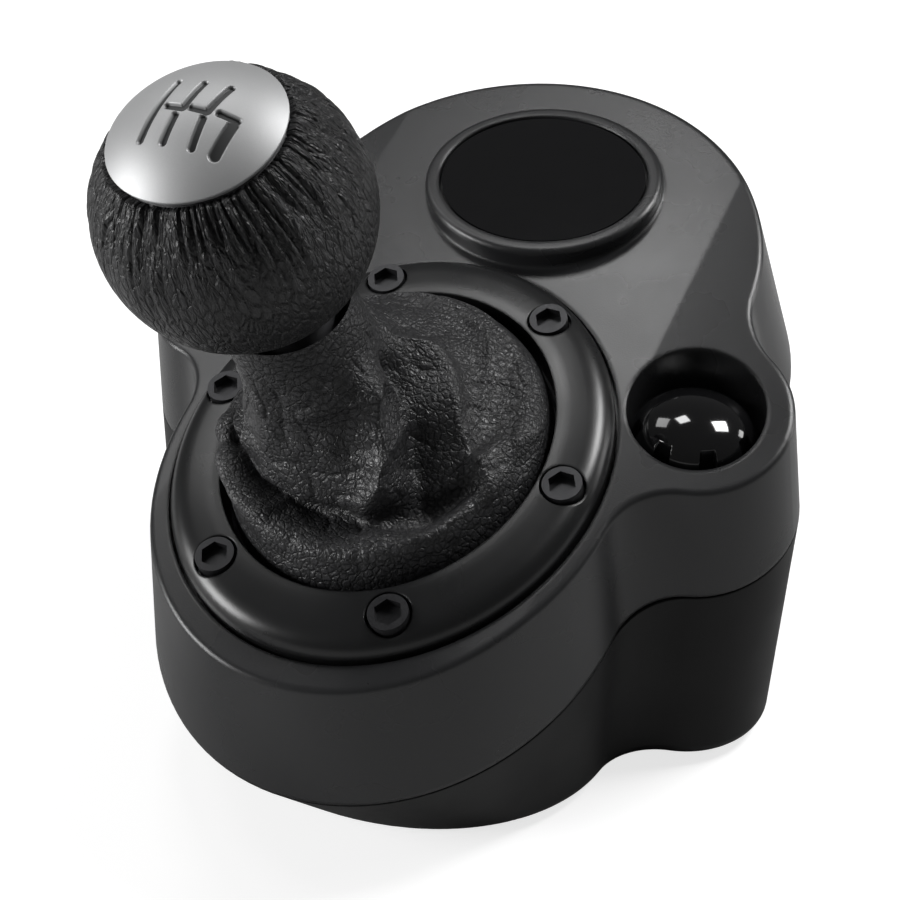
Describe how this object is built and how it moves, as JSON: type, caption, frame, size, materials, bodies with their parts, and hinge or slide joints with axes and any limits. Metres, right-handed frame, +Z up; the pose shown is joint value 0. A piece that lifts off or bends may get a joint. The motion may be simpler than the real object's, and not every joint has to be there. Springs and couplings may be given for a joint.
{
  "type": "sim racing gear shifter",
  "caption": "Desk-clamped gated gear shifter: sloping moulded base, leather boot in an oval bezel, and a leather ball knob on a lever that tilts, swings and pushes down.",
  "frame": {"origin": "bottom centre of the whole part, on the plane of the rubber feet", "axes": "+Z up, +X to the driver's right, +Y away from the driver, towards the high rear of the deck"},
  "size_m": [0.1458, 0.1598, 0.1489],
  "materials": {
    "cover_plastic": "fine satin grain",
    "housing_plastic": "fine satin grain",
    "bezel_plastic": "smooth satin",
    "frame_plastic": "glass-filled, matt",
    "sensor_plastic": "matt",
    "clamp_gloss": "polished",
    "badge_gloss": "polished",
    "board_green": "lacquered",
    "foot_rubber": "matt",
    "boot_leather": "pebbled grain",
    "knob_leather": "fine pebbled grain",
    "cap_satin": "satin blasted",
    "black_screw": "black oxide",
    "plain_steel": "turned",
    "spring_steel": "drawn wire",
    "insert_brass": "turned"
  },
  "bodies": {
    "base": {"top_cover": "cover_plastic", "lower_housing": "housing_plastic", "rubber_feet": "foot_rubber", "case_screws": "black_screw", "rig_inserts": "insert_brass", "bezel_ring": "bezel_plastic", "bezel_screws": "black_screw", "badge_disc": "badge_gloss", "boot_retainer": "frame_plastic", "boot": "boot_leather", "gimbal_frame": "frame_plastic", "frame_screws": "plain_steel", "gate_plate": "plain_steel", "side_springs": "spring_steel", "select_pins": "plain_steel", "select_sensor": "sensor_plastic", "circuit_board": "board_green", "board_screws": "plain_steel", "cable_gland": "foot_rubber"},
    "yoke": {"select_yoke": "frame_plastic", "shift_pins": "plain_steel", "shift_sensor": "sensor_plastic"},
    "stick": {"shift_cradle": "frame_plastic", "shift_rod": "plain_steel", "reverse_spring": "spring_steel"},
    "knob": {"rod_sleeve": "plain_steel", "knob_nut": "plain_steel", "knob_core": "frame_plastic", "knob_leather": "knob_leather", "knob_cap": "cap_satin", "boot_tie": "foot_rubber"},
    "clamp_left": {"clamp_knob_left": "clamp_gloss", "clamp_screw_left": "plain_steel", "screw_clip_left": "spring_steel"},
    "clamp_right": {"clamp_knob_right": "clamp_gloss", "clamp_screw_right": "plain_steel", "screw_clip_right": "spring_steel"},
    "jaw_left": {"clamp_jaw_left": "housing_plastic", "jaw_pad_left": "foot_rubber"},
    "jaw_right": {"clamp_jaw_right": "housing_plastic", "jaw_pad_right": "foot_rubber"}
  },
  "joints": [
    {"name": "select_tilt", "type": "hinge", "parent": "base", "child": "yoke", "pos_m": [0, -0.01928, 0.0297], "axis": [0, 0.9336, 0.3584], "range_deg": [0, 15.6], "deforming": ["boot", "side_springs"]},
    {"name": "shift_tilt", "type": "hinge", "parent": "yoke", "child": "stick", "pos_m": [0, -0.01928, 0.0297], "axis": [0.9907, -0.0486, 0.1267], "range_deg": [-11, 11], "deforming": ["boot"]},
    {"name": "knob_push", "type": "slide", "parent": "stick", "child": "knob", "axis": [0.1357, 0.3551, -0.9249], "range_m": [0, 0.005], "stiffness_N_per_m": 1500, "springref_m": -0.004, "deforming": ["reverse_spring", "boot"]},
    {"name": "clamp_turn_left", "type": "hinge", "parent": "base", "child": "clamp_left", "pos_m": [-0.0515, -0.00254, 0.062], "axis": [0, 0, 1], "range_deg": [0, 3600]},
    {"name": "jaw_slide_left", "type": "slide", "parent": "base", "child": "jaw_left", "axis": [0, 0, -1], "range_m": [0, 0.04]},
    {"name": "clamp_turn_right", "type": "hinge", "parent": "base", "child": "clamp_right", "pos_m": [0.0515, -0.00254, 0.062], "axis": [0, 0, 1], "range_deg": [0, 3600]},
    {"name": "jaw_slide_right", "type": "slide", "parent": "base", "child": "jaw_right", "axis": [0, 0, -1], "range_m": [0, 0.04]}
  ],
  "couplings": [
    {"joint": "clamp_turn_left", "follows": "jaw_slide_left", "rad_per_m": 1570.8},
    {"joint": "clamp_turn_right", "follows": "jaw_slide_right", "rad_per_m": 1570.8}
  ]
}
